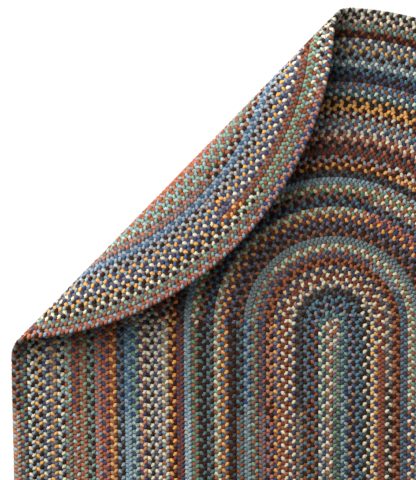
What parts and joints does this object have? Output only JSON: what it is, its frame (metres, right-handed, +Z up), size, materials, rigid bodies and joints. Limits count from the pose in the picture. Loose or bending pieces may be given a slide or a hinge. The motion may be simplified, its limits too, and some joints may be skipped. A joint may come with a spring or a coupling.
{
  "type": "braided rug",
  "caption": "Oval rug of one three-strand wool braid coiled round a straight core and laced, lying flat with part of its far round end folded back over it.",
  "frame": {"origin": "centre of the box's underside, on the floor", "axes": "+Y along the rug's length towards the end that is folded, +Z up off the floor, +X to the right, away from the fold"},
  "size_m": [1.524, 2.4434, 0.092],
  "materials": {
    "braid": "matte braided wool in many colours"
  },
  "bodies": {
    "root": {"rug": "braid"}
  },
  "joints": []
}
